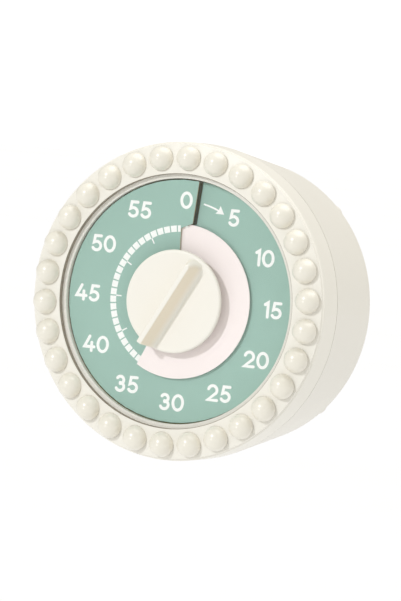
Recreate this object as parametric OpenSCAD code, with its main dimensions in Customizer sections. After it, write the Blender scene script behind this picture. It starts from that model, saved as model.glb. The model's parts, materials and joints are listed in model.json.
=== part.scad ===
// Wind-up visual kitchen timer with a beaded bezel and a disc that threads through a helical dial.
// Each node is modelled face up, its back on z = 0, and upright() then stands it with the dial
// facing -Y. Dial angles run clockwise from 12 o'clock, seen from the front.

/* [Case] */
// Outer diameter of the bezel at its front edge
bezel_d = 82; // [78:1:96]
// Diameter of the housing at its back face
back_d = 74.6; // [71:0.2:76]
// Distance from the back face to the bezel's outer front edge
case_depth = 40; // [38:1:50]
// Length of the bezel's side band, from the front edge to the seam
band_l = 8.8; // [6:0.2:10]
// Wall of both shells
wall = 1.8; // [1.4:0.1:2.2]
// Height of the face's inner edge above its outer edge
face_rise = 1.6; // [0.8:0.1:2.4]
// Opening of the bezel
window_d = 65.7; // [64:0.1:66]
// Open line between the bezel and the housing
seam_gap = 0.25; // [0.1:0.05:0.4]

/* [Beads] */
// Number of beads
bead_count = 30; // [24:1:32]
// Diameter of a bead
bead_d = 6.5; // [4:0.1:6.6]
// Turn of the bead ring past 12 o'clock, in degrees
bead_turn = 0.9; // [0:0.1:6]

/* [Lens] */
// Thickness of the lens
lens_t = 0.8; // [0.7:0.1:1.2]
// Depth of the lens's front face below the bezel's inner edge
lens_sink = 0.1; // [0.1:0.05:0.5]
// Radial width of the lens's skirt
lens_skirt_t = 1; // [0.8:0.1:1.2]
// Length of the lens's skirt below its flat window
lens_skirt_l = 0.5; // [0.4:0.1:1.6]

/* [Dial] */
// Open line round the dial plate
dial_gap = 0.35; // [0.3:0.05:1]
// Thickness of the dial plate
dial_t = 0.4; // [0.3:0.05:0.5]
// Rise of the dial plate and the time disc in one turn
pitch = 1.6; // [1.3:0.1:2.2]
// Width of the slit that the marker disc passes through
slit_w = 0.5; // [0.3:0.1:0.8]
// Diameter of the time disc
disc_d = 39.8; // [36:0.1:44]
// Thickness of the time disc
disc_t = 0.3; // [0.2:0.05:0.4]
// Time that is set, in minutes
set_minutes = 35; // [5:5:55]

/* [Knob] */
// Diameter of the knob's flange
knob_d = 26.6; // [22:0.2:32]
// Thickness of the knob's flange
flange_t = 1.3; // [1:0.1:1.8]
// Height of the grip fin above the flange
fin_h = 5; // [3.5:0.5:8]
// Thickness of the fin along its crest
fin_crest_t = 1.3; // [1.2:0.1:2]
// Thickness of the fin at its foot
fin_foot_t = 5.2; // [3:0.1:6]
// Diameter of the knob's hub
hub_d = 7; // [6:0.5:8]

/* [Movement] */
// Gap between the movement plates and the screw bosses
plate_gap = 2; // [1:0.5:3]
// Thickness of the movement plates
plate_t = 1; // [0.8:0.1:1.2]
// Diameter of the main arbor
arbor_d = 3; // [2.6:0.1:3.4]
// Thickness of the mainspring's strip
spring_t = 0.35; // [0.25:0.05:0.4]
// Teeth of the main wheel
main_teeth = 72; // [72]
// Module of the main wheel and its pinion
main_module = 0.4; // [0.38:0.01:0.4]
// Leaves of the second pinion
second_leaves = 12; // [12]
// Teeth of the second and third wheels
train_teeth = 64; // [64]
// Leaves of the third and escape pinions
train_leaves = 8; // [8]
// Module of the second wheel and the third pinion
second_module = 0.32; // [0.3:0.01:0.32]
// Module of the third wheel and the escape pinion
third_module = 0.28; // [0.26:0.01:0.28]
// Teeth of the escape wheel
escape_teeth = 15; // [15]

/* [Bell and magnets] */
// Diameter of the gong
gong_d = 34; // [30:1:36]
// Diameter of a magnet
magnet_d = 12; // [8:1:14]
// Thickness of a magnet
magnet_t = 2; // [1.5:0.1:2.2]

/* [Hidden] */
$fn = 96;

// Clearances
slide_gap = 0.05;    // a part that turns or slides on another
pivot_gap = 0.03;    // an arbor's pivot in its plate
fit_gap = 0.15;      // parts that drop into each other
eps = 0.01;          // makes a cut run through a face

// Case
bezel_r = bezel_d / 2;
back_r = back_d / 2;
window_r = window_d / 2;
bead_ring_r = (window_r + bezel_r) / 2;
edge_r = 0.5;                              // rounding of the bezel's outer front edge
back_edge_r = 1.6;                         // rounding of the housing's back edge
back_t = 2;                                // back wall
face_z = case_depth;                       // the bezel's outer front edge
brim_z = case_depth + face_rise;           // the bezel's inner front edge
seam_z = case_depth - band_l;
spigot_l = 1.8;                            // the housing's lip inside the band
face_steps = 10;

// Lens, on a ledge inside the bezel
lens_r = window_r - fit_gap;
lens_top_z = brim_z - lens_sink;
lens_low_z = lens_top_z - lens_t;
film_t = 0.03;                             // cement under the lens's skirt
ledge_z = lens_low_z - lens_skirt_l - film_t;
ledge_t = 1.6;
ledge_w = 1.25;                            // how far the ledge reaches in from the window
ledge_r = window_r - ledge_w;

// Dial: top surface rises from low_z just after 12 o'clock to low_z + pitch just before it
dial_r = ledge_r - dial_gap;
disc_r = disc_d / 2;
disc_gap = 0.2;                            // between the disc and the raised end above it
disc_lift = pitch - dial_t - disc_gap;     // how far above the dial the disc runs
lens_gap = 0.25;                           // between the fully raised disc and the lens
low_z = lens_low_z - lens_gap - pitch - disc_lift;
disc_hub_r = hub_d / 2 + 2.8;
dial_hole_r = disc_hub_r + 0.5;
slit_in = -1.2;                            // angle of the slit inside the disc's edge
slit_out = 4.9;                            // direction of the slit outside it
slit_off = 1;                              // and how far that line lies off the centre
jog_in_r = disc_r - 1.1;                   // where the slit starts to step across
jog_out_r = disc_r + 0.4;
disc_cut = -4.4;                           // direction of the disc's own cut, from the set time
disc_cut_off = 1.8;
set_angle = set_minutes * 6;
turn_steps = 60;

// Tray under the dial
tray_floor_t = 1;
disc_bottom_z = low_z + disc_lift - pitch - disc_t;   // lowest point of the disc at 0 minutes
tray_top_z = disc_bottom_z - 0.5;
tray_z = tray_top_z - tray_floor_t;
tray_r = ledge_r + 0.4;
tray_in_r = dial_r + 0.15;
dial_post_r = 1;
dial_post_count = 12;
dial_post_ring = dial_r - 4;

// Long screws that hold housing, tray and bezel together
screw_ring = window_r + 1.65;              // just outside the window's wall
screw_angles = [45, 135, 225, 315];
screw_r = 1.25;
screw_head_r = 2.1;
boss_r = 3;
head_z = tray_z - 9;                       // seat of the screw heads in the bosses
screw_tip_z = tray_top_z + 2.6;
head_h = 1.6;

// Knob
knob_r = knob_d / 2;
hub_r = hub_d / 2;
flange_z = brim_z + 0.1;
flange_top_z = flange_z + flange_t;
fin_point_r = knob_r - 0.3;                // the end that points at the time
fin_tail_r = knob_r - 1.1;
hub_low_z = disc_bottom_z - 0.1;
key_w = 1.2;
key_h = 0.8;
lens_hole_r = hub_r + key_h + 0.4;
arbor_tip_z = lens_top_z - 0.9;
flat_depth = 0.4;                          // the flat on the arbor's tip

// Plates and arbors
rear_plate_z = 12;
front_plate_z = 28;
plate_r = screw_ring - boss_r - plate_gap;
front_z = front_plate_z + plate_t;
inner_z = rear_plate_z + plate_t;
arbor_r = arbor_d / 2;
pivot_r = 0.5;
staff_r = 0.8;
pivot_out = 0.4;                           // how far a pivot stands out of its plate
bush_r = 3;
shoulder = 0.3;                            // end play between an arbor's body and the plates

// Levels of the train, from the back
cam_z = 14.6;
escape_z = 14.2;
third_z = 16.2;
second_z = 18;
main_z = 19.6;
ratchet_z = 20.95;
spring_z = 22.3;
spring_h = 5;
thin_t = 0.8;
main_t = 1.2;
cam_t = 1.2;
leaf_l = 1.6;                              // length of a pinion's leaves

// Places of the arbors
main_c = main_module * (main_teeth + second_leaves) / 2;
second_c = second_module * (train_teeth + train_leaves) / 2;
third_c = third_module * (train_teeth + train_leaves) / 2;
third_ring = 17;
escape_ring = 17.5;
second_a = 150;
third_a = second_a - cosine_angle(main_c, third_ring, second_c);
escape_a = third_a - cosine_angle(third_ring, escape_ring, third_c);
second_p = on_ring(main_c, second_a);
third_p = on_ring(third_ring, third_a);
escape_p = on_ring(escape_ring, escape_a);
escape_tip_r = 4.2;
escape_root_r = 2.9;
anchor_c = 6.3;
anchor_a = -10;
anchor_p = escape_p + on_ring(anchor_c, anchor_a);
anchor_span = 54;                          // each pin, from the line of centres
anchor_pin_r = 0.2;
anchor_pin_c = escape_tip_r + anchor_pin_r + 0.07;

// Pillars and the screws that hang the movement from the tray
pillar_ring = plate_r - 3;
pillar_angles = [30, 185, 290];
pillar_r = 1.8;
pillar_screw_r = 0.9;
mount_ring = plate_r - 5.5;
mount_angles = [62, 235, 340];
mount_boss_r = 2.4;
mount_screw_r = 1;

// Mainspring
collet_r = 3;
spring_in_r = collet_r + 0.35;
spring_turns = 6;
spring_step = 1.45;
spring_out_r = spring_in_r + spring_turns * spring_step;
spring_points = 28;

// Ratchet
ratchet_teeth = 24;
ratchet_r = 5.5;
ratchet_root_r = 4.8;
click_pivot = on_ring(9.2, 320);

// Bell
gong_r = gong_d / 2;
gong_p = [2, -6];
gong_t = 0.9;
gong_z = 4.4;
gong_rim_z = 10.8;
stud_r = 1.5;
hammer_p = [-22, -8];
hammer_arbor_r = 0.9;
head_r = 2;
head_gap = 0.9;                            // between hammer head and gong at rest
head_p = gong_p + on_ring(gong_r + head_r + head_gap, 210);
head_low_z = 6.4;
hammer_head_h = 3.4;
hammer_arm_w = 1.6;
lever_p = [-11.5, -13.5];
lever_post_r = 1;
cam_r = 5.5;
nose_r = 0.5;
nose_p = on_ring(cam_r + nose_r + 0.4, 215);
tail_z = cam_z;
tail_end = hammer_p + [4.6, -2.4];

// Magnets
magnet_ring = back_r - magnet_d / 2 - 7.3;
magnet_angles = [90, 210, 330];
magnet_r = magnet_d / 2;
magnet_sink = 0.1;                         // magnets lie just inside the back face
pad_t = 1;                                 // material over a magnet's pocket

// Counter-clockwise polar point, for the movement
function on_ring(r, a) = [r * cos(a), r * sin(a)];
// Clockwise from 12 o'clock, for the dial
function on_dial(r, a) = [r * sin(a), r * cos(a)];
// Angle at the centre of a triangle whose sides there are a and b, and whose far side is c
function cosine_angle(a, b, c) = acos((a * a + b * b - c * c) / (2 * a * b));
function direction(from, to) = atan2(to[1] - from[1], to[0] - from[0]);

// Housing radius at height z
function housing_r(z) = back_r + (bezel_r - 0.12 - back_r) * z / seam_z;
// Height of the bezel's face at radius r
function face_at(r) = brim_z - (face_rise - edge_r) * pow((r - window_r) / (bezel_r - edge_r - window_r), 2);

// Stands a face-up piece upright, dial towards -Y
module upright() rotate([90, 0, 0]) children();
module at(p, z = 0) translate([p[0], p[1], z]) children();
module rod(r, z0, z1) translate([0, 0, z0]) cylinder(r = r, h = z1 - z0);
module ring_of(radius, angles) for (a = angles) at(on_ring(radius, a)) rotate(a) children();

// A flat link with round ends
module link(a, b, w) {
    length = norm(b - a);
    translate(a) rotate(direction(a, b)) {
        circle(d = w, $fn = 32);
        translate([0, -w / 2]) square([length, w]);
        translate([length, 0]) circle(d = w, $fn = 32);
    }
}

// --- Case -----------------------------------------------------------------------------------

module bezel_profile() {
    inner_face = [for (i = [0:face_steps])
        let (r = window_r + (bezel_r - edge_r - window_r) * i / face_steps) [r, face_at(r)]];
    edge = [for (a = [75:-15:0])
        [bezel_r - edge_r + edge_r * cos(a), face_z - edge_r + edge_r * sin(a)]];
    under = ledge_z - ledge_t;
    polygon(concat(inner_face, edge, [
        [bezel_r - 0.1, seam_z + seam_gap / 2],
        [bezel_r - 0.1 - wall, seam_z + seam_gap / 2],
        [bezel_r - 0.1 - wall, face_z - wall],
        [window_r + 1.4, face_z - wall + 0.8],
        [window_r + 1.4, under],
        [ledge_r, under],
        [ledge_r, ledge_z],
        [window_r, ledge_z]
    ]));
}

module bead_spots() for (i = [0:bead_count - 1])
    at(on_dial(bead_ring_r, bead_turn + i * 360 / bead_count)) children();

bead_z = face_at(bead_ring_r);
seat_z = bead_z + 0.08;                    // the beads' flat backs, in shallow seats
peg_r = 1;
peg_l = 1;

module bezel_ring() color("ivory") upright() difference() {
    union() {
        rotate_extrude() bezel_profile();
        difference() {
            ring_of(screw_ring, screw_angles) rod(2.4, tray_top_z, face_z - wall + 0.8);
            rod(ledge_r, tray_z, brim_z);
            rod(window_r, ledge_z, brim_z);
        }
    }
    bead_spots() {
        rod(peg_r, seat_z - peg_l, seat_z + 1);
        rod(bead_d / 2 + 0.02, seat_z, seat_z + 1);
    }
    ring_of(screw_ring, screw_angles) rod(screw_r - 0.25, tray_top_z - eps, screw_tip_z + 0.6);
}

module pearl_beads() color("cornsilk") upright() bead_spots() {
    difference() {
        translate([0, 0, bead_z]) sphere(d = bead_d, $fn = 48);
        rod(bead_d, bead_z - bead_d, seat_z);
    }
    rod(peg_r - 0.02, seat_z - peg_l + 0.1, seat_z + eps);
}

module lens() color("azure", 0.3) upright() difference() {
    rod(lens_r, ledge_z + film_t, lens_top_z);
    rod(lens_r - lens_skirt_t, ledge_z - 1, lens_low_z);
    rod(lens_hole_r, ledge_z - 1, lens_top_z + 1);
}

module housing_profile() {
    inner_back = back_r - wall + (housing_r(back_t) - back_r);
    round_back = [for (a = [270:15:360])
        [back_r - back_edge_r + back_edge_r * cos(a), back_edge_r + back_edge_r * sin(a)]];
    polygon(concat([[0, 0]], round_back, [
        [housing_r(seam_z), seam_z - seam_gap / 2],
        [bezel_r - 0.1 - wall - fit_gap, seam_z - seam_gap / 2],
        [bezel_r - 0.1 - wall - fit_gap, seam_z + spigot_l],
        [housing_r(seam_z) - wall - 1, seam_z + spigot_l],
        [housing_r(seam_z) - wall - 1, seam_z - seam_gap / 2 - 1],
        [inner_back, back_t],
        [0, back_t]
    ]));
}

module rear_housing() color("ivory") upright() difference() {
    union() {
        rotate_extrude() housing_profile();
        ring_of(screw_ring, screw_angles) rod(boss_r, back_t / 2, tray_z);
        ring_of(magnet_ring, magnet_angles) rod(magnet_r + 1.2, back_t / 2, magnet_t + magnet_sink + pad_t);
    }
    difference() {
        ring_of(screw_ring, screw_angles) rod(boss_r + 3, -1, case_depth);
        rotate_extrude() polygon([[0, -2], [back_r + 9, -2], [back_r + 9, case_depth + 2], [0, case_depth + 2]]);
    }
    ring_of(screw_ring, screw_angles) {
        rod(screw_head_r + 0.1, -1, head_z);
        rod(screw_r + 0.1, head_z - eps, tray_z + eps);
    }
    ring_of(magnet_ring, magnet_angles) rod(magnet_r + 0.05, -1, magnet_t + magnet_sink);
    for (y = [-9:3.6:9]) translate([-slot_l(y) / 2, y - 0.8, -1]) cube([slot_l(y), 1.6, back_t + 2]);
}
// Length of the sound slot at height y, shorter towards the edge of the group
function slot_l(y) = 24 - abs(y);

module housing_screws() color("silver") upright() ring_of(screw_ring, screw_angles) difference() {
    union() {
        rod(screw_head_r, head_z - head_h, head_z);
        rod(screw_r, head_z - eps, tray_z + eps);
        rod(screw_r - 0.25, tray_z, screw_tip_z);
    }
    for (a = [0, 90]) rotate(a) translate([-1.4, -0.25, head_z - head_h - eps]) cube([2.8, 0.5, 0.8]);
}

module magnets() color("dimgray") upright()
    ring_of(magnet_ring, magnet_angles) rod(magnet_r, magnet_sink, magnet_sink + magnet_t);

// --- Dial -----------------------------------------------------------------------------------

// Angle at radius r of a line in direction a that passes off the centre by off
function line_angle(a, off, r) = a + asin(off / r);
// Where the dial's slit is at radius r
function slit_at(r) = r <= jog_in_r ? slit_in : line_angle(slit_out, slit_off, r);
// The slit's shape fades away from the cut, over this share of a turn
function fade(u) = pow(abs(2 * u - 1), 12);
// Angle that pulls the last end of a plate back by gap, at radius r and this share of a turn
function pull_back(gap, r, u) = gap / r * 180 / PI * pow(u, 24);

// A plate between radii, one turn long, whose top rises by pitch. ends is the cut's angle at each
// radius, measured from a0, z0 the top's height at angle 0 and gap the space between the two ends.
module helical_plate(radii, ends, a0, z0, t, gap) {
    m = len(radii);
    n = turn_steps;
    angle = [for (i = [0:n]) [for (j = [0:m - 1])
        a0 + 360 * i / n + ends[j] * fade(i / n) - pull_back(gap, radii[j], i / n)]];
    top = [for (i = [0:n]) for (j = [0:m - 1])
        concat(on_dial(radii[j], angle[i][j]), z0 + pitch * angle[i][j] / 360)];
    bottom = [for (p = top) p - [0, 0, t]];
    k = len(top);
    quads = concat(
        [for (i = [0:n - 1]) for (j = [0:m - 2])
            [i * m + j, i * m + j + 1, (i + 1) * m + j + 1, (i + 1) * m + j]],
        [for (i = [0:n - 1]) for (j = [0:m - 2])
            [k + (i + 1) * m + j, k + (i + 1) * m + j + 1, k + i * m + j + 1, k + i * m + j]],
        [for (i = [0:n - 1]) [i * m + m - 1, k + i * m + m - 1, k + (i + 1) * m + m - 1, (i + 1) * m + m - 1]],
        [for (i = [0:n - 1]) [(i + 1) * m, k + (i + 1) * m, k + i * m, i * m]],
        [for (j = [0:m - 2]) [j, k + j, k + j + 1, j + 1]],
        [for (j = [0:m - 2]) [n * m + j + 1, k + n * m + j + 1, k + n * m + j, n * m + j]]
    );
    triangles = [for (q = quads) each [[q[0], q[1], q[2]], [q[0], q[2], q[3]]]];
    polyhedron(concat(top, bottom), triangles, convexity = 6);
}

module dial_plate() color("darkseagreen") upright() {
    radii = [dial_hole_r, (dial_hole_r + jog_in_r) / 2, jog_in_r, jog_out_r, (jog_out_r + dial_r) / 2, dial_r];
    helical_plate(radii, [for (r = radii) slit_at(r)], 0, low_z, dial_t, slit_w);
}

module time_disc() color("mistyrose") upright() {
    radii = [disc_hub_r, (disc_hub_r + disc_r) / 2, disc_r];
    helical_plate(radii, [for (r = radii) line_angle(disc_cut, disc_cut_off, r)],
        set_angle - 360, low_z + disc_lift, disc_t, 0);
}

disc_rest_z = low_z + disc_lift + pitch * set_angle / 360;     // top of the disc's leading edge

module key_pair(w, reach, z0, z1)
    for (a = [0, 180]) rotate(a) translate([0, -w / 2, z0]) cube([reach, w, z1 - z0]);

module disc_hub() color("mistyrose") upright() difference() {
    rod(disc_hub_r - 0.01, disc_rest_z - pitch - disc_t, disc_rest_z);
    rod(hub_r + slide_gap, disc_bottom_z, lens_low_z);
    rotate(-set_angle) key_pair(key_w + 2 * slide_gap, hub_r + key_h + slide_gap, disc_bottom_z, lens_low_z);
}

module dial_tray() color("ivory") upright() difference() {
    union() {
        rod(tray_r, tray_z, tray_top_z);
        difference() {
            rod(tray_r, tray_top_z - eps, ledge_z - ledge_t);
            rod(tray_in_r, tray_top_z - 1, case_depth);
        }
        ring_of(screw_ring, screw_angles) rod(2.4, tray_z, tray_top_z);
        ring_of(screw_ring - 2, screw_angles) translate([-1, -2.4, tray_z]) cube([3, 4.8, tray_floor_t]);
        ring_of(mount_ring, mount_angles) rod(mount_boss_r, front_z, tray_top_z);
        for (i = [0:dial_post_count - 1])
            let (a = (i + 0.5) * 360 / dial_post_count + 4)
                at(on_dial(dial_post_ring, a))
                    rod(dial_post_r, tray_top_z - eps, low_z - dial_t + pitch * (a - 2.5) / 360);
    }
    rod(hub_r + key_h + 0.6, tray_z - 1, tray_top_z + 1);
    ring_of(screw_ring, screw_angles) rod(screw_r + 0.05, tray_z - 1, tray_top_z + 1);
    ring_of(mount_ring, mount_angles) rod(mount_screw_r - 0.2, front_z - 1, tray_z);
}

// --- Knob and main arbor ----------------------------------------------------------------------

module fin_section() polygon([
    [-fin_foot_t / 2, -0.2], [-fin_foot_t / 2, 0], [-fin_crest_t / 2, fin_h - 0.5],
    [-fin_crest_t / 2 + 0.4, fin_h], [fin_crest_t / 2 - 0.4, fin_h], [fin_crest_t / 2, fin_h - 0.5],
    [fin_foot_t / 2, 0], [fin_foot_t / 2, -0.2]
]);

module knob() color("ivory") upright() rotate(-set_angle) difference() {
    union() {
        rotate_extrude() polygon([
            [0, flange_z], [knob_r - 0.3, flange_z], [knob_r, flange_z + 0.3],
            [knob_r, flange_top_z - 0.4], [knob_r - 0.12, flange_top_z - 0.12],
            [knob_r - 0.4, flange_top_z], [0, flange_top_z]
        ]);
        translate([0, fin_point_r, flange_top_z]) rotate([90, 0, 0])
            linear_extrude(fin_point_r + fin_tail_r) fin_section();
        rod(hub_r, hub_low_z, flange_z + eps);
        key_pair(key_w, hub_r + key_h, hub_low_z, lens_low_z);
    }
    difference() {
        rod(arbor_r, hub_low_z - 1, arbor_tip_z);
        translate([arbor_r - flat_depth, -arbor_r, hub_low_z - 1]) cube([arbor_r, arbor_d, case_depth]);
    }
}

module main_arbor() color("silver") upright() rotate(-set_angle) difference() {
    rod(arbor_r, rear_plate_z - 1, arbor_tip_z);
    translate([arbor_r - flat_depth, -arbor_r, hub_low_z - 1]) cube([arbor_r, arbor_d, case_depth]);
    difference() {
        rod(arbor_r + 1, rear_plate_z - 0.6, rear_plate_z - 0.2);
        rod(arbor_r - 0.4, rear_plate_z - 1, rear_plate_z);
    }
}

module arbor_clip() color("silver") upright() difference() {
    rod(arbor_r + 1.1, rear_plate_z - 0.58, rear_plate_z - 0.22);
    rod(arbor_r - 0.38, rear_plate_z - 1, rear_plate_z);
    translate([0, -0.9, rear_plate_z - 1]) cube([arbor_r + 2, 1.8, 1]);
}

module spring_collet() color("silver") upright() difference() {
    rod(collet_r, spring_z - 0.2, spring_z + spring_h);
    rod(arbor_r, spring_z - 1, front_z);
}

// --- Gears ------------------------------------------------------------------------------------

pressure_angle = 20;
backlash = 0.14;                           // of a module, taken off each tooth
// Polar angle of an involute at radius r on the base circle rb
function involute(rb, r) = r <= rb ? 0 :
    let (t = sqrt(r * r / (rb * rb) - 1)) t * 180 / PI - atan(t);

// A spur gear's outline with its first tooth on +X. shift moves its profile outwards, addendum and
// dedendum are in modules.
function gear_points(teeth, m, shift, addendum, dedendum) =
    let (
        rp = m * teeth / 2,
        rb = rp * cos(pressure_angle),
        tip = rp + m * addendum,
        root = rp - m * dedendum,
        half = (PI / 2 + 2 * shift * tan(pressure_angle) - backlash) * m / rp / 2 * 180 / PI,
        start = max(root, rb),
        radii = concat(root < rb ? [root] : [], [for (i = [0:4]) start + (tip - start) * i / 4]),
        flank = [for (r = radii) [r, half + involute(rb, rp) - involute(rb, r)]]
    )
    [for (k = [0:teeth - 1]) let (a = k * 360 / teeth) each concat(
        [for (f = flank) on_ring(f[0], a - f[1])],
        [for (i = [len(flank) - 1:-1:0]) on_ring(flank[i][0], a + flank[i][1])]
    )];

// Wheels give room to their small pinions: the pinion's profile is shifted out, the wheel's in
module wheel_outline(teeth, m, shift) polygon(gear_points(teeth, m, -shift, 1 - shift, 1.25 + shift));
module pinion_outline(teeth, m, shift) polygon(gear_points(teeth, m, shift, 1.2, 1.25 - shift));
main_shift = 0.3;
train_shift = 0.5;

module spoked(r_hub, r_rim, count, w) difference() {
    children();
    difference() {
        circle(r = r_rim);
        circle(r = r_hub);
        for (i = [0:count - 1]) rotate(i * 360 / count) translate([0, -w / 2]) square([r_rim + 1, w]);
    }
}

module main_wheel() color("goldenrod") upright() rotate(second_a) translate([0, 0, main_z]) difference() {
    linear_extrude(main_t) wheel_outline(main_teeth, main_module, main_shift);
    rod(arbor_r, -1, 3);
    at(click_at_rest()) rod(0.55, -1, 3);
}
// The click's pivot in the main wheel's own turn
function click_at_rest() = let (a = direction([0, 0], click_pivot) - second_a) on_ring(norm(click_pivot), a);

module ratchet_wheel() color("silver") upright() translate([0, 0, ratchet_z]) difference() {
    linear_extrude(thin_t) polygon([for (k = [0:ratchet_teeth - 1]) let (a = k * 360 / ratchet_teeth)
        each [on_ring(ratchet_root_r, a), on_ring(ratchet_r, a + 0.5), on_ring(ratchet_r, a + 2)]]);
    rod(arbor_r, -1, 3);
}

click_tip = on_ring(ratchet_r + 0.35, direction([0, 0], click_pivot) + 42);
module ratchet_click() color("silver") upright() translate([0, 0, ratchet_z]) difference() {
    linear_extrude(thin_t) {
        translate(click_pivot) circle(r = 1.3, $fn = 48);
        link(click_pivot, click_tip, 0.6);
    }
    at(click_pivot) rod(0.5 + pivot_gap, -1, 3);
}

module click_rivet() color("goldenrod") upright() at(click_pivot) {
    rod(0.5, main_z + 0.1, ratchet_z + thin_t + 0.1);
    rod(0.9, ratchet_z + thin_t + 0.05, ratchet_z + thin_t + 0.35);
}

click_spring_foot = on_ring(11.8, direction([0, 0], click_pivot) + 34);
module click_spring() color("silver") upright() {
    at(click_spring_foot) rod(0.5, main_z + main_t, ratchet_z + thin_t);
    translate([0, 0, ratchet_z]) linear_extrude(thin_t - 0.2)
        link(click_spring_foot, on_ring(7.95, direction([0, 0], click_pivot) + 18), 0.25);
}

module strike_cam() color("silver") upright() rotate(-set_angle + 215 - 90) translate([0, 0, cam_z]) difference() {
    rod(cam_r, 0, cam_t);
    rod(arbor_r, -1, 3);
    translate([cam_r - 0.9, -0.8, -1]) cube([2, 1.6, 4]);
}

module staff(p) at(p) {
    rod(staff_r, inner_z + shoulder, front_plate_z - shoulder);
    rod(pivot_r, rear_plate_z - pivot_out, front_z + pivot_out);
}
module bored(p, z) at(p, z) difference() {
    children();
    rod(staff_r, -1, leaf_l + 1);
}

first_turn = direction(second_p, [0, 0]) - 180 / second_leaves;
second_turn = direction(second_p, third_p);
third_pinion_turn = second_turn + 180 - 180 / train_leaves;
third_turn = direction(third_p, escape_p);
escape_pinion_turn = third_turn + 180 - 180 / train_leaves;

module second_arbor() color("silver") upright() staff(second_p);
module second_pinion() color("silver") upright()
    bored(second_p, main_z - 0.2) linear_extrude(leaf_l) rotate(first_turn)
        pinion_outline(second_leaves, main_module, main_shift);
module second_wheel() color("goldenrod") upright()
    bored(second_p, second_z) linear_extrude(thin_t) rotate(second_turn)
        spoked(2.6, second_module * (train_teeth / 2 - 3.4), 4, 1.4)
            wheel_outline(train_teeth, second_module, train_shift);

module third_arbor() color("silver") upright() staff(third_p);
module third_pinion() color("silver") upright()
    at(third_p, second_z - 0.4) linear_extrude(leaf_l) rotate(third_pinion_turn) difference() {
        pinion_outline(train_leaves, second_module, train_shift);
        circle(r = staff_r, $fn = 48);
    }
module third_wheel() color("goldenrod") upright()
    bored(third_p, third_z) linear_extrude(thin_t) rotate(third_turn)
        spoked(2.4, third_module * (train_teeth / 2 - 3.4), 4, 1.3)
            wheel_outline(train_teeth, third_module, train_shift);

escape_staff_r = 0.6;
module escape_arbor() color("silver") upright() at(escape_p) {
    rod(escape_staff_r, inner_z + shoulder, front_plate_z - shoulder);
    rod(pivot_r, rear_plate_z - pivot_out, front_z + pivot_out);
}
module escape_pinion() color("silver") upright()
    at(escape_p, third_z - 0.4) linear_extrude(leaf_l) rotate(escape_pinion_turn) difference() {
        pinion_outline(train_leaves, third_module, train_shift);
        circle(r = escape_staff_r, $fn = 48);
    }
module escape_wheel() color("goldenrod") upright() at(escape_p, escape_z) difference() {
    linear_extrude(thin_t) rotate(anchor_a) polygon([for (k = [0:escape_teeth - 1])
        let (a = k * 360 / escape_teeth) each [
            on_ring(escape_root_r, a - 5), on_ring(escape_tip_r, a - 0.8),
            on_ring(escape_tip_r, a + 0.8), on_ring(escape_root_r, a + 5)]]);
    rod(escape_staff_r, -1, 3);
}

pin_a = escape_p + on_ring(anchor_pin_c, anchor_a + anchor_span);
pin_b = escape_p + on_ring(anchor_pin_c, anchor_a - anchor_span);
anchor_z = escape_z + thin_t + 0.25;
module anchor_arbor() color("silver") upright() staff(anchor_p);
module anchor() color("silver") upright() {
    at([0, 0], anchor_z) linear_extrude(thin_t - 0.2) difference() {
        union() {
            link(anchor_p, pin_a, 1);
            link(anchor_p, pin_b, 1);
            translate(anchor_p) circle(r = 1.6, $fn = 48);
        }
        translate(anchor_p) circle(r = staff_r, $fn = 48);
    }
    for (p = [pin_a, pin_b]) at(p) rod(anchor_pin_r, escape_z - 0.1, anchor_z + 0.1);
}
inertia_z = 24;
inertia_r = 5.4;
module inertia_ring() color("goldenrod") upright() at(anchor_p, inertia_z) difference() {
    linear_extrude(main_t) spoked(1.8, inertia_r - 1, 2, 1.2) circle(r = inertia_r);
    rod(staff_r, -1, 3);
}

// --- Movement frame -----------------------------------------------------------------------------

module plate_blank(z) difference() {
    rod(plate_r, z, z + plate_t);
    for (p = [second_p, third_p, escape_p, anchor_p]) at(p) rod(pivot_r + pivot_gap, z - 1, z + 3);
    ring_of(pillar_ring, pillar_angles) rod(pillar_screw_r + 0.1, z - 1, z + 3);
    rod(bush_r - 0.8, z - 1, z + 3);
}

module front_plate() color("goldenrod") upright() difference() {
    plate_blank(front_plate_z);
    ring_of(mount_ring, mount_angles) rod(mount_screw_r + 0.1, front_plate_z - 1, front_z + 1);
    at(hammer_p) rod(pivot_r + pivot_gap, front_plate_z - 1, front_z + 1);
    at(spring_post_p) rod(0.8, front_plate_z - 1, front_z + 1);
}

module rear_plate() color("goldenrod") upright() difference() {
    plate_blank(rear_plate_z);
    at(hammer_p) rod(hammer_arbor_r + pivot_gap, rear_plate_z - 1, inner_z + 1);
    at(gong_p) rod(stud_r - 0.3, rear_plate_z - 1, inner_z + 1);
    at(lever_p) rod(lever_post_r - 0.3, rear_plate_z - 1, inner_z + 1);
}

module pillars() color("silver") upright() ring_of(pillar_ring, pillar_angles) difference() {
    rod(pillar_r, inner_z, front_plate_z);
    rod(pillar_screw_r - 0.15, inner_z - 1, front_plate_z + 1);
}

module pillar_screws() color("dimgray") upright() ring_of(pillar_ring, pillar_angles) {
    rod(1.7, front_z, front_z + 1);
    rod(pillar_screw_r - 0.15, front_z - 4, front_z + eps);
    rod(1.7, rear_plate_z - 1, rear_plate_z);
    rod(pillar_screw_r - 0.15, rear_plate_z - eps, rear_plate_z + 4);
}

module movement_screws() color("dimgray") upright() ring_of(mount_ring, mount_angles) {
    rod(1.9, front_plate_z - 1.1, front_plate_z);
    rod(mount_screw_r - 0.2, front_plate_z - eps, tray_z - 0.4);
}

module plain_bush(z) difference() {
    union() {
        rod(bush_r - 0.8, z - 0.2, z + plate_t + 0.2);
        rod(bush_r, z + plate_t, z + plate_t + 0.5);
    }
    rod(arbor_r + slide_gap, z - 1, z + 3);
}
module front_bush() color("peru") upright() plain_bush(front_plate_z);
module rear_bush() color("peru") upright() plain_bush(rear_plate_z);

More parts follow.
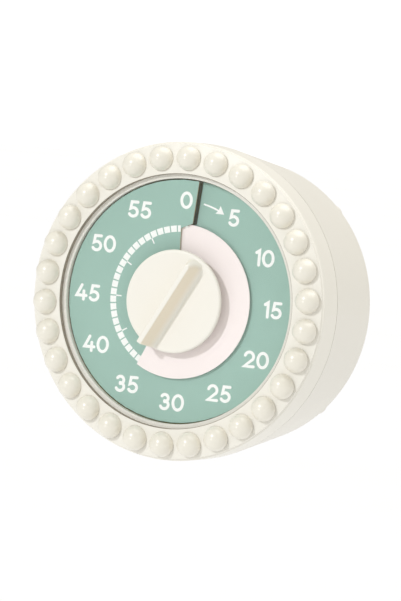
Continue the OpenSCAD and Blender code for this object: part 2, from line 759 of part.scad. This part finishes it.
spring_post_p = on_ring(spring_out_r + spring_t + 0.7, 300);
module spring_post() color("silver") upright() at(spring_post_p) {
    rod(0.7, spring_z, front_z);
    rod(0.8, front_plate_z, front_z);
}

function spiral_r(a) = spring_in_r + spring_step * a / 360;
module mainspring() color("lightsteelblue") upright() translate([0, 0, spring_z]) linear_extrude(spring_h) {
    n = spring_turns * spring_points;
    outer = [for (i = [0:n]) let (a = i * 360 / spring_points) on_ring(spiral_r(a) + spring_t, a - 60)];
    inner = [for (i = [n:-1:0]) let (a = i * 360 / spring_points) on_ring(spiral_r(a), a - 60)];
    polygon(concat(outer, inner));
}

// --- Bell -----------------------------------------------------------------------------------------

module gong() color("silver") upright() at(gong_p) rotate_extrude() difference() {
    polygon([
        [0, gong_z], [gong_r - 6, gong_z], [gong_r - 2.2, gong_z + 1.2], [gong_r - 0.5, gong_z + 3.4],
        [gong_r, gong_rim_z], [0, gong_rim_z]
    ]);
    polygon([
        [-1, gong_z + gong_t], [gong_r - 6.2, gong_z + gong_t], [gong_r - 2.9, gong_z + gong_t + 1.1],
        [gong_r - 1.4, gong_z + gong_t + 3], [gong_r - gong_t, gong_rim_z + 1], [-1, gong_rim_z + 1]
    ]);
    translate([0, gong_z - 1]) square([stud_r, 4]);
}

module gong_stud() color("silver") upright() at(gong_p) {
    rod(stud_r, gong_z - 1.3, gong_z + gong_t);
    rod(stud_r + 1, gong_z + gong_t, rear_plate_z);
    rod(stud_r - 0.3, rear_plate_z - eps, inner_z);
}
module gong_nut() color("dimgray") upright() at(gong_p) difference() {
    translate([0, 0, gong_z - 1.2]) cylinder(r = 2.9, h = 1.2, $fn = 6);
    rod(stud_r, 0, gong_z + 1);
}

module hammer_arbor() color("silver") upright() at(hammer_p) {
    rod(hammer_arbor_r, head_low_z, front_plate_z - shoulder);
    rod(pivot_r, front_plate_z - 1, front_z + pivot_out);
}
arm_z = head_low_z + 0.6;
module hammer_arm() color("silver") upright() translate([0, 0, arm_z]) difference() {
    linear_extrude(1.2) {
        link(hammer_p, head_p, hammer_arm_w);
        translate(hammer_p) circle(r = 1.9, $fn = 48);
    }
    at(hammer_p) rod(hammer_arbor_r, -1, 3);
    at(head_p) rod(0.6, -1, 3);
}
module hammer_head() color("goldenrod") upright() at(head_p) difference() {
    union() {
        rod(head_r, arm_z + 1.2, arm_z + hammer_head_h);
        rod(0.6, arm_z, arm_z + 1.3);
    }
}
module hammer_tail() color("silver") upright() translate([0, 0, tail_z]) difference() {
    linear_extrude(cam_t) {
        link(hammer_p, tail_end, 1.4);
        translate(hammer_p) circle(r = 1.8, $fn = 48);
    }
    at(hammer_p) rod(hammer_arbor_r, -1, 3);
}
hammer_spring_foot = on_ring(pillar_ring, pillar_angles[1]);
module hammer_spring() color("lightsteelblue") upright() difference() {
    union() {
        at(hammer_spring_foot) rod(pillar_r + 0.6, tail_z - 0.4, tail_z + cam_t + 0.4);
        translate([0, 0, tail_z + 0.1]) linear_extrude(cam_t - 0.2)
            link(hammer_spring_foot + [1.8, 0.5], hammer_p + [3.66, -0.56], 0.3);
    }
    at(hammer_spring_foot) rod(pillar_r, 0, case_depth);
}

module lever_post() color("silver") upright() at(lever_p) {
    rod(lever_post_r - 0.3, rear_plate_z, inner_z + eps);
    rod(lever_post_r, inner_z, cam_z + cam_t + 0.5);
}
module strike_lever() color("silver") upright() translate([0, 0, cam_z]) difference() {
    linear_extrude(cam_t) {
        translate(lever_p) circle(r = 2, $fn = 48);
        link(lever_p, nose_p, 2 * nose_r);
        link(lever_p, tail_end + [1.9, 0.4], 1.2);
    }
    at(lever_p) rod(lever_post_r + slide_gap, -1, 3);
}

bezel_ring();
pearl_beads();
lens();
dial_tray();
dial_plate();
rear_housing();
housing_screws();
magnets();
front_plate();
rear_plate();
pillars();
pillar_screws();
movement_screws();
front_bush();
rear_bush();
mainspring();
spring_post();
gong();
gong_stud();
gong_nut();
lever_post();
hammer_spring();
knob();
main_arbor();
spring_collet();
main_wheel();
ratchet_wheel();
click_spring();
strike_cam();
arbor_clip();
ratchet_click();
click_rivet();
time_disc();
disc_hub();
second_arbor();
second_pinion();
second_wheel();
third_arbor();
third_pinion();
third_wheel();
escape_arbor();
escape_pinion();
escape_wheel();
anchor_arbor();
anchor();
inertia_ring();
hammer_arbor();
hammer_arm();
hammer_head();
hammer_tail();
strike_lever();
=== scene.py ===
import json
import math

import bmesh
import bpy
from mathutils import Matrix, Vector, geometry


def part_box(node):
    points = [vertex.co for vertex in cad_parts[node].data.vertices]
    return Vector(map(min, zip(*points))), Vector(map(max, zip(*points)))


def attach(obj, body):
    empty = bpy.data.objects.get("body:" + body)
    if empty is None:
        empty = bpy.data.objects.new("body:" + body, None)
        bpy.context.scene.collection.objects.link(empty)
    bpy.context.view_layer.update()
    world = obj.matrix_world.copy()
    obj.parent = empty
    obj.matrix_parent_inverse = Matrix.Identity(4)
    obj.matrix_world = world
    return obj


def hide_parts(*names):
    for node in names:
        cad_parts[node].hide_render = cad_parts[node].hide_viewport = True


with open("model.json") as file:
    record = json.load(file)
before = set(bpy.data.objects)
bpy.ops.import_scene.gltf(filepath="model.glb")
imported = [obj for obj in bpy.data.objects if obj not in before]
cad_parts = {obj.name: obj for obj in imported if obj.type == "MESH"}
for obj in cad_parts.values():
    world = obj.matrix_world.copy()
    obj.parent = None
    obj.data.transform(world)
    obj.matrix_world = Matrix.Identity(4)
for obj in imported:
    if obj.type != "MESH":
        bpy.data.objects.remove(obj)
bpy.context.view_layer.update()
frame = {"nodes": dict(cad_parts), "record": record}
nodes = frame["nodes"]
MM = 0.001


# ---- Camera ---------------------------------------------------------------------------------
# The timer stands turned 5.1 degrees clockwise on its own axis, seen from its right side, so the
# camera goes round the dial's axis by as much the other way. Its lens is very long.
own_turn = math.radians(5.1)
side_turn = math.radians(24.3)
camera_away = 1.640
frame_width_mm = 102.94
sensor_mm = 36
bezel_front = Vector((0, -40 * MM, 0))
aim_right = 5.90 * MM
aim_up = 0.21 * MM


def seen(right, up, front):
    """A direction given as it looks to someone square in front of the timer, in the CAD frame."""
    flat = Vector((right, 0, up))
    flat.rotate(Matrix.Rotation(-own_turn, 3, "Y"))
    return flat + Vector((0, -front, 0))


to_camera = seen(math.sin(side_turn), 0, math.cos(side_turn))
to_right = seen(math.cos(side_turn), 0, -math.sin(side_turn))
to_up = seen(0, 1, 0)
camera = bpy.data.objects.new("camera", bpy.data.cameras.new("camera"))
bpy.context.scene.collection.objects.link(camera)
camera.matrix_world = Matrix.Translation(
    bezel_front + aim_right * to_right + aim_up * to_up + camera_away * to_camera
) @ Matrix((to_right, to_up, to_camera)).transposed().to_4x4()
camera.data.sensor_fit = "HORIZONTAL"
camera.data.sensor_width = sensor_mm
camera.data.lens = sensor_mm * camera_away / (frame_width_mm * MM)
camera.data.clip_end = 50
bpy.context.scene.camera = camera


# ---- Rear housing ---------------------------------------------------------------------------
# Injection-moulded cup in cream plastic that tapers to the back, with a fine satin spark finish.
# It holds the movement and takes the bezel's side band over its lip.
class Wire:
    """A shader socket that can be used in sums."""

    def __init__(self, finish, socket):
        self.finish, self.socket = finish, socket

    def sum(self, operation, a, b):
        return self.finish.node("ShaderNodeMath", {"operation": operation}, {0: a, 1: b})

    def __add__(self, other):
        return self.sum("ADD", self, other)

    def __mul__(self, other):
        return self.sum("MULTIPLY", self, other)

    __radd__, __rmul__ = __add__, __mul__


class Finish:
    """A material built node by node round one Principled shader."""

    def __init__(self, name, **fixed):
        self.material = bpy.data.materials.new(name)
        self.material.use_nodes = True
        self.tree = self.material.node_tree
        self.shader = self.tree.nodes["Principled BSDF"]
        for socket, value in fixed.items():
            self.shader.inputs[socket.replace("_", " ")].default_value = value

    def node(self, kind, settings=None, sockets=None, out=0):
        made = self.tree.nodes.new(kind)
        for name, value in (settings or {}).items():
            setattr(made, name, value)
        for key, value in (sockets or {}).items():
            self.join(value, made.inputs[key])
        return Wire(self, made.outputs[out])

    def join(self, value, socket):
        if isinstance(value, Wire):
            self.tree.links.new(value.socket, socket)
        else:
            socket.default_value = value

    def place(self):
        return self.node("ShaderNodeTexCoord", out="Object")

    def grain(self, scale, detail=3.0, roughness=0.55, at=None):
        return self.node(
            "ShaderNodeTexNoise", None,
            {"Vector": at or self.place(), "Scale": scale, "Detail": detail, "Roughness": roughness},
        )

    def mix(self, share, a, b):
        """A colour between a and b."""
        return self.node("ShaderNodeMix", {"data_type": "RGBA"}, {0: share, 6: a, 7: b}, out=2)

    def bump(self, height, strength, distance):
        self.set("Normal", self.node(
            "ShaderNodeBump", None, {"Height": height, "Strength": strength, "Distance": distance}
        ))

    def set(self, socket, value):
        self.join(value, self.shader.inputs[socket])

    def dress(self, *names):
        for name in names:
            piece = nodes[name] if name in nodes else bpy.data.objects[name]
            piece.data.materials.clear()
            piece.data.materials.append(self.material)


def colour(r, g, b):
    """Linear colour of a shade given in 0-255 display steps."""
    return tuple(((c / 255 + 0.055) / 1.055) ** 2.4 for c in (r, g, b)) + (1.0,)


def moulded(name, light, dark, roughness, **fixed):
    """Satin moulded plastic: slow mottling, a fine spark texture and slight gloss changes."""
    finish = Finish(name, **fixed)
    slow = finish.grain(70)
    fine = finish.grain(2600, 2)
    finish.tone = finish.mix(slow * 0.7 + fine * 0.3, dark, light)
    finish.set("Base Color", finish.tone)
    finish.set("Roughness", roughness - 0.05 + 0.1 * slow)
    finish.bump(fine, 0.12, 0.02 * MM)
    return finish


case_finish = moulded("cream_case", colour(237, 234, 225), colour(232, 228, 218), 0.42,
                      Specular_IOR_Level=0.4)
case_finish.dress("rear_housing")


# ---- Bezel ----------------------------------------------------------------------------------
# One moulding with the side band, the gently domed face and the ledge for the lens. It is a shade
# lighter and a little smoother than the housing.
bezel_finish = moulded("cream_bezel", colour(241, 238, 229), colour(236, 232, 221), 0.38,
                       Specular_IOR_Level=0.4)
bezel_finish.dress("bezel_ring")


# ---- Beads ----------------------------------------------------------------------------------
# Thirty polished half-round studs, each on a short peg in its own shallow seat in the bezel.
bead_finish = moulded("polished_beads", colour(237, 233, 221), colour(233, 228, 214), 0.32,
                      Specular_IOR_Level=0.5, Coat_Weight=0.35, Coat_Roughness=0.18)
bead_finish.dress("pearl_beads")


# ---- Dial plate -----------------------------------------------------------------------------
# Thin card, one turn of a shallow helix, coated sage green with a slightly uneven matt finish. Its
# cut edges show the bare tan card.
dial_finish = Finish("sage_enamel", Specular_IOR_Level=0.3)
cloud = dial_finish.grain(160, 4)
speck = dial_finish.grain(1800, 2)
facing = dial_finish.node("ShaderNodeSeparateXYZ", None, {
    "Vector": dial_finish.node("ShaderNodeTexCoord", out="Normal")
}, out="Y")
enamel = dial_finish.mix(cloud * 0.6 + speck * 0.4, colour(148, 184, 171), colour(159, 194, 181))
dial_finish.set("Base Color", dial_finish.mix(facing * facing, colour(168, 146, 104), enamel))
dial_finish.set("Roughness", 0.55 + 0.12 * cloud)
dial_finish.bump(speck, 0.15, 0.02 * MM)
dial_finish.dress("dial_plate")


# ---- Print on the dial ----------------------------------------------------------------------
# White screen print that follows the helix: the minutes in fives, a band of sixty minute marks
# with a tick at each five, and an arrow that says which way to turn.
pitch = frame["record"]["behaviour"]["couplings"][0]["ratio"] * 2 * math.pi
marker_r = (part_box("time_disc")[1].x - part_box("time_disc")[0].x) / 2 / MM


step_in, step_out = marker_r - 1.1, marker_r + 0.4
slit_inside, slit_outside = -1.2, 4.9
slit_off_centre, slit_w = 1, 0.5


def slit_angle(radius):
    """Degrees past 12 o'clock of the slit, which steps sideways at the marker's edge."""
    outside = slit_outside + math.degrees(math.asin(slit_off_centre / max(radius, step_out)))
    share = min(max((radius - step_in) / (step_out - step_in), 0), 1)
    return slit_inside + share * (outside - slit_inside)


high_end = slit_angle(step_out) - math.degrees(slit_w / step_out)
zero_height = -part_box("dial_plate")[0].y - pitch * (1 + high_end / 360)
ink, overprint = 0.03 * MM, 0.002 * MM
print_mesh = bmesh.new()


def on_dial(point, height):
    """A flat dial point in mm, to the right and up, lifted onto the helix."""
    x, y = point
    slit = slit_angle(math.hypot(x, y))
    turned = slit + (math.degrees(math.atan2(x, y)) - slit) % 360
    return Vector((x * MM, -(zero_height + pitch * turned / 360 + height), y * MM))


def stamp(outline, holes=(), lift=0.0):
    """A thin slab of ink with this outline."""
    loops = [outline, *holes]
    flat = [[Vector((x, y, 0)) for x, y in loop] for loop in loops]
    points = [p for loop in loops for p in loop]
    top = [print_mesh.verts.new(on_dial(p, ink + lift)) for p in points]
    bottom = [print_mesh.verts.new(on_dial(p, -ink)) for p in points]
    for a, b, c in geometry.tessellate_polygon(flat):
        for layer, order in ((top, (a, b, c)), (bottom, (c, b, a))):
            corners = [layer[i] for i in order]
            if len(set(corners)) == 3:
                print_mesh.faces.new(corners)
    start = 0
    for loop in loops:
        n = len(loop)
        for i in range(n):
            j = (i + 1) % n
            print_mesh.faces.new([top[start + i], top[start + j], bottom[start + j], bottom[start + i]])
        start += n


def arc(cx, cy, rx, ry, start, end, steps=14):
    angles = [math.radians(start + (end - start) * i / steps) for i in range(steps + 1)]
    return [(cx + rx * math.cos(a), cy + ry * math.sin(a)) for a in angles]


def oval(cx, cy, rx, ry):
    """A closed outline with a point every ten degrees."""
    return arc(cx, cy, rx, ry, 0, 350, 35)


def pen_line(path, width):
    """Outline of a line of this width with round ends and mitred corners."""
    half = width / 2
    left, right = [], []
    for i, (x, y) in enumerate(path):
        before = path[max(i - 1, 0)]
        after = path[min(i + 1, len(path) - 1)]
        d0 = Vector((x - before[0], y - before[1]))
        d1 = Vector((after[0] - x, after[1] - y))
        d0 = d0.normalized() if d0.length > 1e-9 else d1.normalized()
        d1 = d1.normalized() if d1.length > 1e-9 else d0
        mid = (d0 + d1).normalized()
        stretch = half / max(mid.dot(d0), 0.45)
        left.append((x - mid.y * stretch, y + mid.x * stretch))
        right.append((x + mid.y * stretch, y - mid.x * stretch))
    (ax, ay), (bx, by) = path[0], path[-1]
    turn_end = math.degrees(math.atan2(by - path[-2][1], bx - path[-2][0]))
    turn_start = math.degrees(math.atan2(path[1][1] - ay, path[1][0] - ax))
    tail = arc(bx, by, half, half, turn_end + 90, turn_end - 90, 8)[1:-1]
    head = arc(ax, ay, half, half, turn_start + 270, turn_start + 90, 8)[1:-1]
    return left + tail + right[::-1] + head


# Each digit: its width and the pen's path, in heights of a digit
digits = {
    "0": (0.78, []),
    "1": (0.38, [[(0.09, 0.79), (0.27, 0.91), (0.27, 0.09)]]),
    "2": (0.76, [arc(0.375, 0.645, 0.265, 0.265, 165, -32) + [(0.11, 0.09), (0.67, 0.09)]]),
    "3": (0.72, [arc(0.345, 0.70, 0.215, 0.21, 150, -90), arc(0.34, 0.32, 0.25, 0.23, 90, -155)]),
    "4": (0.78, [[(0.40, 0.91), (0.10, 0.31), (0.70, 0.31)], [(0.54, 0.56), (0.54, 0.09)]]),
    "5": (0.72, [[(0.61, 0.91), (0.23, 0.91), (0.175, 0.53)] + arc(0.345, 0.335, 0.265, 0.245, 110, -150)]),
}
digit_h = 4.5
digit_pen = 0.80
digit_space = 0.30
number_ring = 26.05


def write(text, cx, cy):
    widths = [digits[c][0] * digit_h for c in text]
    x = cx - (sum(widths) + digit_space * (len(text) - 1)) / 2
    y = cy - digit_h / 2
    for c, width in zip(text, widths):
        if c == "0":
            a, b = width / 2, digit_h / 2
            stamp(oval(x + a, y + b, a, b), [oval(x + a, y + b, a - digit_pen, b - digit_pen)])
        for k, path in enumerate(digits[c][1]):
            stamp(pen_line([(x + u * digit_h, y + v * digit_h) for u, v in path], digit_pen),
                  lift=overprint * k)
        x += width + digit_space


def polar(radius, degrees):
    a = math.radians(degrees)
    return (radius * math.sin(a), radius * math.cos(a))


for minute in range(0, 60, 5):
    write(str(minute), *polar(number_ring, minute * 6))
band_in, band_out, mark_gap = 17.85, 19.5, 0.32
band_start, band_end = 0.2, 356.9
tick_l, tick_w = 1.5, 0.36
for minute in range(60):
    spare = math.degrees(mark_gap / 2 / (0.5 * (band_in + band_out)))
    a0, a1 = minute * 6 + spare, minute * 6 + 6 - spare
    if minute == 59:
        a1 = band_end
    if minute == 0:
        a0 = band_start
    stamp([polar(band_in, a0), polar(band_out, a0), polar(band_out, (a0 + a1) / 2),
           polar(band_out, a1), polar(band_in, a1), polar(band_in, (a0 + a1) / 2)])
    if minute % 5 == 0 and minute:
        half = math.degrees(tick_w / 2 / band_in)
        stamp([polar(band_in - tick_l, minute * 6 - half), polar(band_in, minute * 6 - half),
               polar(band_in, minute * 6 + half), polar(band_in - tick_l, minute * 6 + half)])
arrow_ring, arrow_start, arrow_step, arrow_w = 25.75, 9.9, 0.9, 0.45
stamp(pen_line([polar(arrow_ring - 0.02 * i, arrow_start + arrow_step * i) for i in range(11)], arrow_w))
stamp([polar(26.9, 19.6), polar(25.3, 23.7), polar(24.5, 18.3), polar(25.55, 19.4)], lift=overprint)

bmesh.ops.recalc_face_normals(print_mesh, faces=print_mesh.faces)


def piece_from(mesh, name, body):
    data = bpy.data.meshes.new(name)
    mesh.to_mesh(data)
    mesh.free()
    piece = bpy.data.objects.new(name, data)
    bpy.context.scene.collection.objects.link(piece)
    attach(piece, body)
    return piece


piece_from(print_mesh, "dial_print", "case")
ink_finish = Finish("white_ink", Specular_IOR_Level=0.3)
ink_grain = ink_finish.grain(1500, 2)
ink_finish.set("Base Color", ink_finish.mix(ink_grain, colour(246, 248, 244), colour(255, 255, 253)))
ink_finish.set("Roughness", 0.5 + 0.1 * ink_grain)
ink_finish.dress("dial_print")


# ---- Time marker ----------------------------------------------------------------------------
# Thin blush-white disc on the same helix, which screws forward through the slit as time is set,
# with a hub that slides on the knob.
marker_finish = moulded("blush_marker", colour(253, 243, 240), colour(250, 238, 235), 0.5,
                        Specular_IOR_Level=0.3)
marker_finish.dress("time_disc", "disc_hub")


# ---- Tray and lens --------------------------------------------------------------------------
# Dark olive moulded tray that carries the dial and shows only through its slit and round its edge.
# The clear acrylic lens drops into the bezel and stands on its ledge. A thin taupe ring round its edge
# is painted shade, standing for the shaded inner wall of the bezel.
tray_finish = moulded("olive_tray", colour(92, 95, 24), colour(78, 81, 18), 0.7, Specular_IOR_Level=0.2)
tray_finish.dress("dial_tray")
lens_finish = Finish("clear_lens", Alpha=0.03, Specular_IOR_Level=0.35)
smear = lens_finish.grain(60, 2)
lens_finish.set("Base Color", lens_finish.mix(smear, colour(246, 248, 247), colour(252, 253, 252)))
lens_finish.set("Roughness", 0.05 + 0.04 * smear)
lens_finish.dress("lens")


def lathe(mesh, profile, steps, hollow):
    """Turns a profile of (radius, height) in mm about the dial's axis: a hollow ring or a capped body."""
    rings = []
    for i in range(steps):
        a = 2 * math.pi * i / steps
        rings.append([mesh.verts.new((r * MM * math.sin(a), -h * MM, r * MM * math.cos(a)))
                      for r, h in profile])
    for i in range(steps):
        here, there = rings[i], rings[(i + 1) % steps]
        for j in range(len(profile) - (not hollow)):
            k = (j + 1) % len(profile)
            mesh.faces.new([here[j], here[k], there[k], there[j]])
    if not hollow:
        mesh.faces.new([ring[0] for ring in rings])
        mesh.faces.new([ring[-1] for ring in rings][::-1])
    bmesh.ops.recalc_face_normals(mesh, faces=mesh.faces)


lens_low, lens_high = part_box("lens")
lens_r = (lens_high.x - lens_low.x) / 2 / MM
lens_back, lens_front = -lens_high.y / MM, -lens_low.y / MM
# A thin taupe ring hugging the lens's edge: painted shade for the shaded inner wall of the bezel.
shade_in, shade_out = lens_r + 0.02, lens_r + 0.13
lens_shade_mesh = bmesh.new()
lathe(lens_shade_mesh, [(shade_in, lens_back), (shade_in, lens_front - 0.05),
             (shade_out, lens_front + 0.02), (shade_out, lens_back)], 160, True)
piece_from(lens_shade_mesh, "lens_edge_shade", "case")
moulded("painted_wall_shade", colour(150, 138, 120), colour(132, 120, 103), 0.55).dress("lens_edge_shade")


# ---- Knob -----------------------------------------------------------------------------------
# Moulded in one piece: a round flange with a turned-down edge, a tapered grip fin right across it
# that points at the time, and a keyed hub that goes through the lens onto the main arbor. The fin's
# two flanks carry painted shade as a tan tint.
knob_low, knob_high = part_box("knob")
knob_turn = math.radians(-210)
flange_r = (knob_high.x - knob_low.x) / 2 / MM
hub_r, flange_t, flange_edge = 3.5, 1.3, 0.35
fin_h, fin_foot, fin_crest, fin_root = 5.0, 2.6, 0.65, 0.6
fin_point, fin_tail = flange_r - 0.3, flange_r - 0.9
hub_end, crest_top = -knob_high.y / MM, -knob_low.y / MM - 0.02
flange_top = crest_top - fin_h
flange_low = flange_top - flange_t
body = bmesh.new()
lathe(body, [(hub_r, hub_end), (hub_r, flange_low), (flange_r - 0.4, flange_low),
             (flange_r, flange_low + 0.25), (flange_r, flange_top - flange_edge),
             (flange_r - flange_edge, flange_top)], 128, False)


def fin_ring(mesh, share):
    """One level of the fin, share of the way up: square at the pointing end, round at the tail."""
    half = fin_foot + (fin_crest - fin_foot) * share
    round_r = min(half, 1.7 - 0.9 * share)
    tail = fin_tail - 0.5 * share - 0.7 * share ** 6
    outline = [(-half, fin_point), (half, fin_point)]
    for x, start in ((half - round_r, 0), (round_r - half, -90)):
        outline += [(x + round_r * math.cos(math.radians(start - a)),
                     round_r - tail + round_r * math.sin(math.radians(start - a)))
                    for a in (0, 22.5, 45, 67.5, 90)]
    level = flange_top - fin_root + (fin_h + fin_root) * share
    return [mesh.verts.new((x * MM, -level * MM, z * MM)) for x, z in outline]


fin = bmesh.new()
levels = [fin_ring(fin, share / 8) for share in range(9)]
for low, high in zip(levels, levels[1:]):
    for i in range(len(low)):
        j = (i + 1) % len(low)
        fin.faces.new([low[i], low[j], high[j], high[i]])
fin.faces.new(levels[0][::-1])
fin.faces.new(levels[-1])
bmesh.ops.recalc_face_normals(fin, faces=fin.faces)
joined = bpy.data.meshes.new("fin")
fin.to_mesh(joined)
body.from_mesh(joined)
fin.free()
bpy.data.meshes.remove(joined)
bmesh.ops.rotate(body, cent=(0, 0, 0), matrix=Matrix.Rotation(-knob_turn, 3, "Y"), verts=body.verts)
knob_piece = piece_from(body, "knob_moulding", "setting_shaft")
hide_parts("knob")
remesh = knob_piece.modifiers.new("skin", "REMESH")
remesh.mode = "VOXEL"
remesh.voxel_size = 0.17 * MM
smooth = knob_piece.modifiers.new("soften", "SMOOTH")
smooth.factor = 0.5
smooth.iterations = 6
bpy.context.view_layer.update()
skinned = knob_piece.evaluated_get(bpy.context.evaluated_depsgraph_get())
knob_piece.data = bpy.data.meshes.new_from_object(skinned)
knob_piece.modifiers.clear()
for face in knob_piece.data.polygons:
    face.use_smooth = True
knob_finish = moulded("cream_knob", colour(243, 240, 231), colour(239, 235, 225), 0.36,
                      Specular_IOR_Level=0.4)
# Painted shade: a darker tan tint on the fin's two steep flanks. It is set by how far the surface faces
# across the fin and fades in over the fin's lowest 2 mm.
across = Matrix.Rotation(-knob_turn, 3, "Y") @ Vector((1, 0, 0))
flank_shade = knob_finish.node("ShaderNodeVectorMath", {"operation": "DOT_PRODUCT"}, {
    0: knob_finish.node("ShaderNodeTexCoord", out="Normal"), 1: across
}, out="Value")
depth = knob_finish.node("ShaderNodeSeparateXYZ", None, {"Vector": knob_finish.place()}, out="Y")
fin_shade_rise = knob_finish.node("ShaderNodeMapRange", None, {
    "Value": depth, "From Min": -flange_top * MM, "From Max": -(flange_top + 2) * MM
})
knob_finish.set("Base Color", knob_finish.mix(
    flank_shade * flank_shade * fin_shade_rise, knob_finish.tone, colour(240, 229, 208)
))
knob_finish.dress("knob_moulding")


# ---- Magnets and screws ---------------------------------------------------------------------
# Three sintered ferrite discs pressed into the back, and zinc-plated cross-head screws.
magnet_finish = Finish("ferrite", Specular_IOR_Level=0.4)
pit = magnet_finish.grain(900, 4)
magnet_finish.set("Base Color", magnet_finish.mix(pit, colour(52, 52, 54), colour(78, 77, 78)))
magnet_finish.set("Roughness", 0.5 + 0.2 * pit)
magnet_finish.bump(pit, 0.4, 0.05 * MM)
magnet_finish.dress("magnets")


def metal(name, light, dark, roughness, stretch, scale=900):
    """Metal with fine tool marks, drawn out along one axis."""
    finish = Finish(name, Metallic=1.0)
    along = finish.node("ShaderNodeMapping", None, {"Vector": finish.place(), "Scale": stretch})
    marks = finish.grain(scale, 3, 0.6, along)
    stain = finish.grain(90)
    finish.set("Base Color", finish.mix(stain * 0.6 + marks * 0.4, dark, light))
    finish.set("Roughness", roughness + 0.14 * marks)
    finish.bump(marks, 0.15, 0.02 * MM)
    return finish


metal("zinc_screws", colour(186, 188, 190), colour(160, 162, 165), 0.28, (1, 1, 1)).dress(
    "housing_screws", "pillar_screws", "movement_screws", "gong_nut")


# ---- Movement -------------------------------------------------------------------------------
# Stamped brass plates and wheels, turned steel arbors and blued springs, as in any small clockwork.
metal("brass_plates", colour(222, 190, 120), colour(196, 160, 92), 0.25, (1, 1, 12)).dress(
    "front_plate", "rear_plate", "front_bush", "rear_bush", "main_wheel", "click_rivet",
    "second_wheel", "third_wheel", "escape_wheel", "inertia_ring", "hammer_head")
metal("turned_steel", colour(190, 190, 193), colour(158, 159, 163), 0.22, (1, 14, 1)).dress(
    "pillars", "spring_post", "gong_stud", "lever_post", "main_arbor", "spring_collet",
    "ratchet_wheel", "strike_cam", "arbor_clip", "ratchet_click", "second_arbor", "second_pinion",
    "third_arbor", "third_pinion", "escape_arbor", "escape_pinion", "anchor_arbor", "anchor",
    "hammer_arbor", "hammer_arm", "hammer_tail", "strike_lever")
metal("blued_springs", colour(92, 104, 132), colour(66, 76, 104), 0.26, (1, 1, 6)).dress(
    "mainspring", "click_spring", "hammer_spring")
metal("bell_steel", colour(214, 215, 218), colour(192, 193, 197), 0.12, (1, 1, 1), 300).dress("gong")


# ---- Floor and light ------------------------------------------------------------------------
# Pale seamless floor well below the timer, a key light from above the dial's front and slightly to
# its left, a broad soft light overhead, and a plain white studio all round.
floor_mesh = bmesh.new()
bmesh.ops.create_grid(floor_mesh, x_segments=2, y_segments=2, size=12)
floor_data = bpy.data.meshes.new("floor")
floor_mesh.to_mesh(floor_data)
floor_mesh.free()
floor = bpy.data.objects.new("floor", floor_data)
bpy.context.scene.collection.objects.link(floor)
floor_drop = 160 * MM
floor.location = (0, 0, -floor_drop)
floor_finish = Finish("pale_floor", Specular_IOR_Level=0.0, Roughness=0.9,
                      Emission_Color=(1, 1, 1, 1), Emission_Strength=0.08)
floor_grain = floor_finish.grain(3)
floor_finish.set("Base Color", floor_finish.mix(floor_grain, (0.76, 0.765, 0.78, 1), (0.79, 0.795, 0.81, 1)))
floor_data.materials.append(floor_finish.material)


def lamp(name, direction, energy, spread, tint):
    light = bpy.data.objects.new(name, bpy.data.lights.new(name, "SUN"))
    light.data.energy = energy
    light.data.angle = math.radians(spread)
    light.data.color = tint
    light.rotation_euler = direction.to_track_quat("Z", "Y").to_euler()
    bpy.context.scene.collection.objects.link(light)


lamp("key", seen(-0.3, 0.5, 1.0), 1.12, 3, (0.92, 0.95, 1.0))
lamp("overhead", seen(0.36, 1.0, -0.14), 1.8, 60, (0.99, 0.985, 1.0))

world = bpy.data.worlds.new("studio")
world.use_nodes = True
studio = world.node_tree
room = studio.nodes["Background"]
room.inputs["Color"].default_value = (1, 0.975, 0.89, 1)
room.inputs["Strength"].default_value = 0.52
backdrop = studio.nodes.new("ShaderNodeBackground")
backdrop.inputs["Color"].default_value = (1, 1, 1, 1)
backdrop.inputs["Strength"].default_value = 1.05
straight = studio.nodes.new("ShaderNodeLightPath")
choice = studio.nodes.new("ShaderNodeMixShader")
studio.links.new(straight.outputs["Is Camera Ray"], choice.inputs[0])
studio.links.new(room.outputs[0], choice.inputs[1])
studio.links.new(backdrop.outputs[0], choice.inputs[2])
studio.links.new(choice.outputs[0], studio.nodes["World Output"].inputs["Surface"])
bpy.context.scene.world = world
bpy.context.scene.view_settings.view_transform = "Standard"
bpy.context.scene.view_settings.look = "None"
